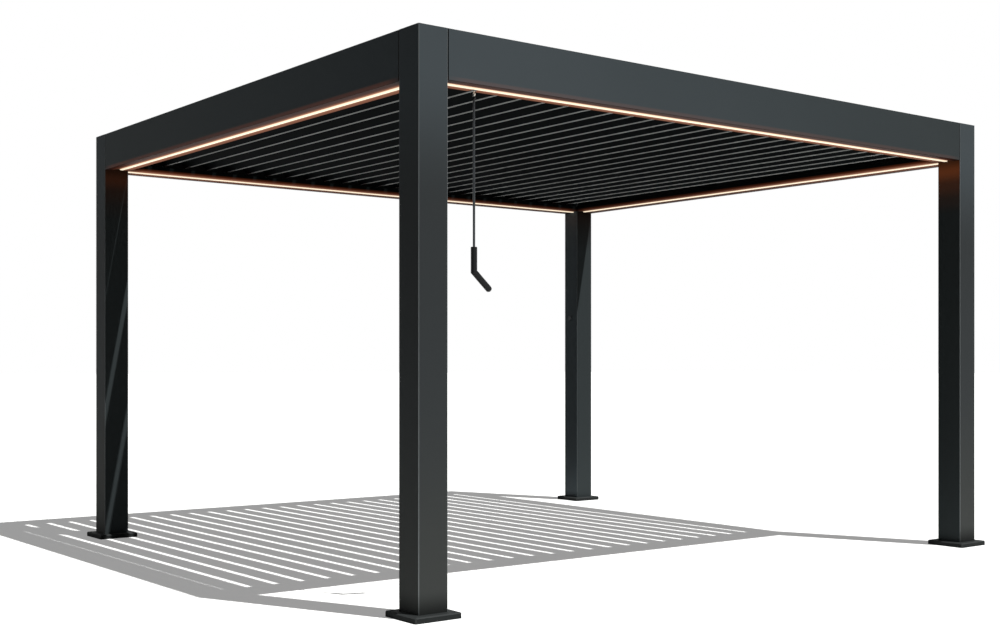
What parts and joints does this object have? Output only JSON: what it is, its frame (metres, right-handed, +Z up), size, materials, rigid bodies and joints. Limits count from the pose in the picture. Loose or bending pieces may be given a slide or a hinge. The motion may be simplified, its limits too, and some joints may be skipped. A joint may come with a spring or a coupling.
{
  "type": "louvered pergola",
  "caption": "Free-standing aluminium pergola with tilting roof louvres, inner gutters, light strips under the beams and a hanging crank.",
  "frame": {"origin": "on the ground under the middle of the roof", "axes": "+X along the long side, from the crank's end; +Y from the front, where the crank hangs, to the rear; +Z up"},
  "size_m": [4.086, 3.686, 2.5],
  "materials": {
    "powder_coat": "fine textured matt anthracite powder coat",
    "louvre_coat": "fine textured matt anthracite powder coat",
    "light_lens": "frosted lens, lit warm white",
    "zinc_steel": "zinc plated",
    "black_plastic": "moulded, lightly grained",
    "grey_plastic": "moulded, satin"
  },
  "bodies": {
    "frame": {"front_left_post": "powder_coat", "front_left_post_cap": "powder_coat", "front_left_foot": "powder_coat", "front_right_post": "powder_coat", "front_right_post_cap": "powder_coat", "front_right_foot": "powder_coat", "rear_left_post": "powder_coat", "rear_left_post_cap": "powder_coat", "rear_left_foot": "powder_coat", "rear_right_post": "powder_coat", "rear_right_post_cap": "powder_coat", "rear_right_foot": "powder_coat", "front_beam": "powder_coat", "front_gutter": "powder_coat", "front_light_strip": "light_lens", "rear_beam": "powder_coat", "rear_gutter": "powder_coat", "rear_light_strip": "light_lens", "left_beam": "powder_coat", "left_gutter": "powder_coat", "left_light_strip": "light_lens", "right_beam": "powder_coat", "right_gutter": "powder_coat", "right_light_strip": "light_lens", "front_pivot_rail": "powder_coat", "rear_pivot_rail": "powder_coat", "left_flashing": "powder_coat", "right_flashing": "powder_coat", "crank_boss": "black_plastic", "round_cover": "grey_plastic"},
    "louvre_01": {"louvre_01": "louvre_coat"},
    "louvre_02": {"louvre_02": "louvre_coat"},
    "louvre_03": {"louvre_03": "louvre_coat"},
    "louvre_04": {"louvre_04": "louvre_coat"},
    "louvre_05": {"louvre_05": "louvre_coat"},
    "louvre_06": {"louvre_06": "louvre_coat"},
    "louvre_07": {"louvre_07": "louvre_coat"},
    "louvre_08": {"louvre_08": "louvre_coat"},
    "louvre_09": {"louvre_09": "louvre_coat"},
    "louvre_10": {"louvre_10": "louvre_coat"},
    "louvre_11": {"louvre_11": "louvre_coat"},
    "louvre_12": {"louvre_12": "louvre_coat"},
    "louvre_13": {"louvre_13": "louvre_coat"},
    "louvre_14": {"louvre_14": "louvre_coat"},
    "louvre_15": {"louvre_15": "louvre_coat"},
    "louvre_16": {"louvre_16": "louvre_coat"},
    "louvre_17": {"louvre_17": "louvre_coat"},
    "louvre_18": {"louvre_18": "louvre_coat"},
    "louvre_19": {"louvre_19": "louvre_coat"},
    "louvre_20": {"louvre_20": "louvre_coat"},
    "louvre_21": {"louvre_21": "louvre_coat"},
    "louvre_22": {"louvre_22": "louvre_coat"},
    "louvre_23": {"louvre_23": "louvre_coat"},
    "louvre_24": {"louvre_24": "louvre_coat"},
    "louvre_25": {"louvre_25": "louvre_coat"},
    "crank_eye": {"crank_eye": "zinc_steel"},
    "crank": {"crank_rod": "zinc_steel", "crank_handle": "black_plastic"}
  },
  "joints": [
    {"name": "louvre_01_tilt", "type": "hinge", "parent": "frame", "child": "louvre_01", "pos_m": [-1.764, 0, 2.41], "axis": [0, 1, 0], "range_deg": [-45, 45]},
    {"name": "louvre_02_tilt", "type": "hinge", "parent": "frame", "child": "louvre_02", "pos_m": [-1.617, 0, 2.41], "axis": [0, 1, 0], "range_deg": [-45, 45]},
    {"name": "louvre_03_tilt", "type": "hinge", "parent": "frame", "child": "louvre_03", "pos_m": [-1.47, 0, 2.41], "axis": [0, 1, 0], "range_deg": [-45, 45]},
    {"name": "louvre_04_tilt", "type": "hinge", "parent": "frame", "child": "louvre_04", "pos_m": [-1.323, 0, 2.41], "axis": [0, 1, 0], "range_deg": [-45, 45]},
    {"name": "louvre_05_tilt", "type": "hinge", "parent": "frame", "child": "louvre_05", "pos_m": [-1.176, 0, 2.41], "axis": [0, 1, 0], "range_deg": [-45, 45]},
    {"name": "louvre_06_tilt", "type": "hinge", "parent": "frame", "child": "louvre_06", "pos_m": [-1.029, 0, 2.41], "axis": [0, 1, 0], "range_deg": [-45, 45]},
    {"name": "louvre_07_tilt", "type": "hinge", "parent": "frame", "child": "louvre_07", "pos_m": [-0.882, 0, 2.41], "axis": [0, 1, 0], "range_deg": [-45, 45]},
    {"name": "louvre_08_tilt", "type": "hinge", "parent": "frame", "child": "louvre_08", "pos_m": [-0.735, 0, 2.41], "axis": [0, 1, 0], "range_deg": [-45, 45]},
    {"name": "louvre_09_tilt", "type": "hinge", "parent": "frame", "child": "louvre_09", "pos_m": [-0.588, 0, 2.41], "axis": [0, 1, 0], "range_deg": [-45, 45]},
    {"name": "louvre_10_tilt", "type": "hinge", "parent": "frame", "child": "louvre_10", "pos_m": [-0.441, 0, 2.41], "axis": [0, 1, 0], "range_deg": [-45, 45]},
    {"name": "louvre_11_tilt", "type": "hinge", "parent": "frame", "child": "louvre_11", "pos_m": [-0.294, 0, 2.41], "axis": [0, 1, 0], "range_deg": [-45, 45]},
    {"name": "louvre_12_tilt", "type": "hinge", "parent": "frame", "child": "louvre_12", "pos_m": [-0.147, 0, 2.41], "axis": [0, 1, 0], "range_deg": [-45, 45]},
    {"name": "louvre_13_tilt", "type": "hinge", "parent": "frame", "child": "louvre_13", "pos_m": [0, 0, 2.41], "axis": [0, 1, 0], "range_deg": [-45, 45]},
    {"name": "louvre_14_tilt", "type": "hinge", "parent": "frame", "child": "louvre_14", "pos_m": [0.147, 0, 2.41], "axis": [0, 1, 0], "range_deg": [-45, 45]},
    {"name": "louvre_15_tilt", "type": "hinge", "parent": "frame", "child": "louvre_15", "pos_m": [0.294, 0, 2.41], "axis": [0, 1, 0], "range_deg": [-45, 45]},
    {"name": "louvre_16_tilt", "type": "hinge", "parent": "frame", "child": "louvre_16", "pos_m": [0.441, 0, 2.41], "axis": [0, 1, 0], "range_deg": [-45, 45]},
    {"name": "louvre_17_tilt", "type": "hinge", "parent": "frame", "child": "louvre_17", "pos_m": [0.588, 0, 2.41], "axis": [0, 1, 0], "range_deg": [-45, 45]},
    {"name": "louvre_18_tilt", "type": "hinge", "parent": "frame", "child": "louvre_18", "pos_m": [0.735, 0, 2.41], "axis": [0, 1, 0], "range_deg": [-45, 45]},
    {"name": "louvre_19_tilt", "type": "hinge", "parent": "frame", "child": "louvre_19", "pos_m": [0.882, 0, 2.41], "axis": [0, 1, 0], "range_deg": [-45, 45]},
    {"name": "louvre_20_tilt", "type": "hinge", "parent": "frame", "child": "louvre_20", "pos_m": [1.029, 0, 2.41], "axis": [0, 1, 0], "range_deg": [-45, 45]},
    {"name": "louvre_21_tilt", "type": "hinge", "parent": "frame", "child": "louvre_21", "pos_m": [1.176, 0, 2.41], "axis": [0, 1, 0], "range_deg": [-45, 45]},
    {"name": "louvre_22_tilt", "type": "hinge", "parent": "frame", "child": "louvre_22", "pos_m": [1.323, 0, 2.41], "axis": [0, 1, 0], "range_deg": [-45, 45]},
    {"name": "louvre_23_tilt", "type": "hinge", "parent": "frame", "child": "louvre_23", "pos_m": [1.47, 0, 2.41], "axis": [0, 1, 0], "range_deg": [-45, 45]},
    {"name": "louvre_24_tilt", "type": "hinge", "parent": "frame", "child": "louvre_24", "pos_m": [1.617, 0, 2.41], "axis": [0, 1, 0], "range_deg": [-45, 45]},
    {"name": "louvre_25_tilt", "type": "hinge", "parent": "frame", "child": "louvre_25", "pos_m": [1.764, 0, 2.41], "axis": [0, 1, 0], "range_deg": [-45, 45]},
    {"name": "crank_turn", "type": "hinge", "parent": "frame", "child": "crank_eye", "pos_m": [-1.616, -1.669, 2.268], "axis": [0, 0, 1], "range_deg": [-900, 900]},
    {"name": "crank_swing", "type": "hinge", "parent": "crank_eye", "child": "crank", "pos_m": [-1.616, -1.669, 2.2658], "axis": [1, 0, 0], "range_deg": [-40, 40]}
  ],
  "couplings": [
    {"joint": "louvre_02_tilt", "follows": "louvre_01_tilt", "ratio": 1},
    {"joint": "louvre_03_tilt", "follows": "louvre_01_tilt", "ratio": 1},
    {"joint": "louvre_04_tilt", "follows": "louvre_01_tilt", "ratio": 1},
    {"joint": "louvre_05_tilt", "follows": "louvre_01_tilt", "ratio": 1},
    {"joint": "louvre_06_tilt", "follows": "louvre_01_tilt", "ratio": 1},
    {"joint": "louvre_07_tilt", "follows": "louvre_01_tilt", "ratio": 1},
    {"joint": "louvre_08_tilt", "follows": "louvre_01_tilt", "ratio": 1},
    {"joint": "louvre_09_tilt", "follows": "louvre_01_tilt", "ratio": 1},
    {"joint": "louvre_10_tilt", "follows": "louvre_01_tilt", "ratio": 1},
    {"joint": "louvre_11_tilt", "follows": "louvre_01_tilt", "ratio": 1},
    {"joint": "louvre_12_tilt", "follows": "louvre_01_tilt", "ratio": 1},
    {"joint": "louvre_13_tilt", "follows": "louvre_01_tilt", "ratio": 1},
    {"joint": "louvre_14_tilt", "follows": "louvre_01_tilt", "ratio": 1},
    {"joint": "louvre_15_tilt", "follows": "louvre_01_tilt", "ratio": 1},
    {"joint": "louvre_16_tilt", "follows": "louvre_01_tilt", "ratio": 1},
    {"joint": "louvre_17_tilt", "follows": "louvre_01_tilt", "ratio": 1},
    {"joint": "louvre_18_tilt", "follows": "louvre_01_tilt", "ratio": 1},
    {"joint": "louvre_19_tilt", "follows": "louvre_01_tilt", "ratio": 1},
    {"joint": "louvre_20_tilt", "follows": "louvre_01_tilt", "ratio": 1},
    {"joint": "louvre_21_tilt", "follows": "louvre_01_tilt", "ratio": 1},
    {"joint": "louvre_22_tilt", "follows": "louvre_01_tilt", "ratio": 1},
    {"joint": "louvre_23_tilt", "follows": "louvre_01_tilt", "ratio": 1},
    {"joint": "louvre_24_tilt", "follows": "louvre_01_tilt", "ratio": 1},
    {"joint": "louvre_25_tilt", "follows": "louvre_01_tilt", "ratio": 1},
    {"joint": "crank_turn", "follows": "louvre_01_tilt", "ratio": 20}
  ]
}
